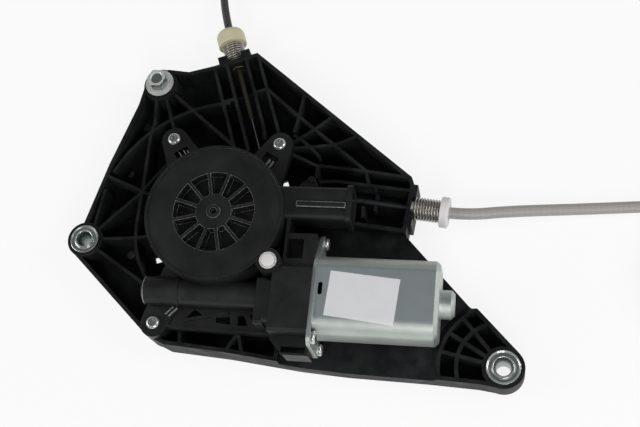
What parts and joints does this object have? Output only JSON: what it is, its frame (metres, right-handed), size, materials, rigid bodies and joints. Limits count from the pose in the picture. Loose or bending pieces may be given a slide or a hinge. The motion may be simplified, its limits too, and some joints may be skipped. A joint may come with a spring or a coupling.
{
  "type": "window regulator drive unit",
  "caption": "Cable window regulator drive: ribbed carrier plate with worm gear housing, electric motor, connector, sprung cable exits and their conduits",
  "frame": {"origin": "axis of the cable drum on the back plane of the carrier plate", "axes": "+X along the motor shaft towards the motor, +Y towards the upper cable exit, +Z from the carrier's back to the gear unit"},
  "size_m": [0.4526, 0.3517, 0.0468],
  "materials": {
    "carrier_plastic": "moulded, slightly glossy",
    "gearbox_plastic": "glass-filled, dull",
    "zinc_steel": "yellow-green zinc plate",
    "can_steel": "grey-green zinc plate",
    "spring_steel": "bright wire",
    "core_steel": "stamped sheets",
    "bronze": "sintered",
    "copper": "enamelled wire",
    "magnet": "sintered ferrite",
    "carbon": "pressed carbon",
    "wheel_plastic": "natural acetal",
    "white_plastic": "matte white",
    "cream_plastic": "matte cream",
    "black_rubber": "matte",
    "black_liner": "smooth",
    "cable_steel": "stranded",
    "black_conduit": "braided jacket",
    "grey_conduit": "smooth jacket"
  },
  "bodies": {
    "carrier": {"axle_pin": "spring_steel", "brush_card": "gearbox_plastic", "bush_left": "zinc_steel", "bush_right": "zinc_steel", "bush_top_left": "zinc_steel", "can_screws": "zinc_steel", "carbon_brushes": "carbon", "carrier_plate": "carrier_plastic", "connector_terminals": "copper", "cover_seal": "black_rubber", "end_bearing": "bronze", "front_bearing": "bronze", "gear_cover": "gearbox_plastic", "gear_housing": "gearbox_plastic", "housing_screws": "zinc_steel", "magnets": "magnet", "motor_can": "can_steel", "motor_label": "white_plastic", "mounting_bolt": "zinc_steel", "rear_bearing": "bronze", "spring_right": "spring_steel", "spring_top": "spring_steel", "vent_plug": "white_plastic", "wire_right": "cable_steel", "wire_top": "cable_steel", "worm_end_plug": "gearbox_plastic"},
    "drum_assembly": {"worm_wheel": "wheel_plastic", "damper": "black_rubber", "output_dog": "spring_steel", "cable_drum": "wheel_plastic", "drum_cable": "cable_steel"},
    "armature": {"armature_shaft": "spring_steel", "armature_core": "core_steel", "armature_windings": "copper", "commutator": "copper"},
    "top_conduit": {"ferrule_top": "cream_plastic", "liner_top": "cream_plastic", "conduit_top": "black_conduit", "conduit_top_coil": "black_conduit", "conduit_top_tail": "black_conduit", "conduit_top_end": "black_conduit", "cable_end_top": "cable_steel"},
    "right_conduit": {"ferrule_right": "white_plastic", "liner_right": "black_liner", "conduit_right": "grey_conduit", "conduit_right_coil": "grey_conduit", "conduit_right_tail": "grey_conduit", "conduit_right_end": "grey_conduit", "cable_end_right": "cable_steel"}
  },
  "joints": [
    {"name": "armature_spin", "type": "hinge", "parent": "carrier", "child": "armature", "pos_m": [0, -0.041, 0.028], "axis": [1, 0, 0], "range_deg": [-34894, 34894]},
    {"name": "drum_spin", "type": "hinge", "parent": "carrier", "child": "drum_assembly", "pos_m": [0, 0, 0.02], "axis": [0, 0, 1], "range_deg": [-478.1, 478.1]},
    {"name": "conduit_top_slide", "type": "slide", "parent": "carrier", "child": "top_conduit", "axis": [0.3387, -0.9409, 0], "range_m": [0, 0.003], "stiffness_N_per_m": 2000, "deforming": ["spring_top"]},
    {"name": "conduit_right_slide", "type": "slide", "parent": "carrier", "child": "right_conduit", "axis": [-0.9943, 0.1063, 0], "range_m": [0, 0.003], "stiffness_N_per_m": 2000, "deforming": ["spring_right"]}
  ],
  "couplings": [
    {"joint": "drum_spin", "follows": "armature_spin", "ratio": -0.013699}
  ]
}
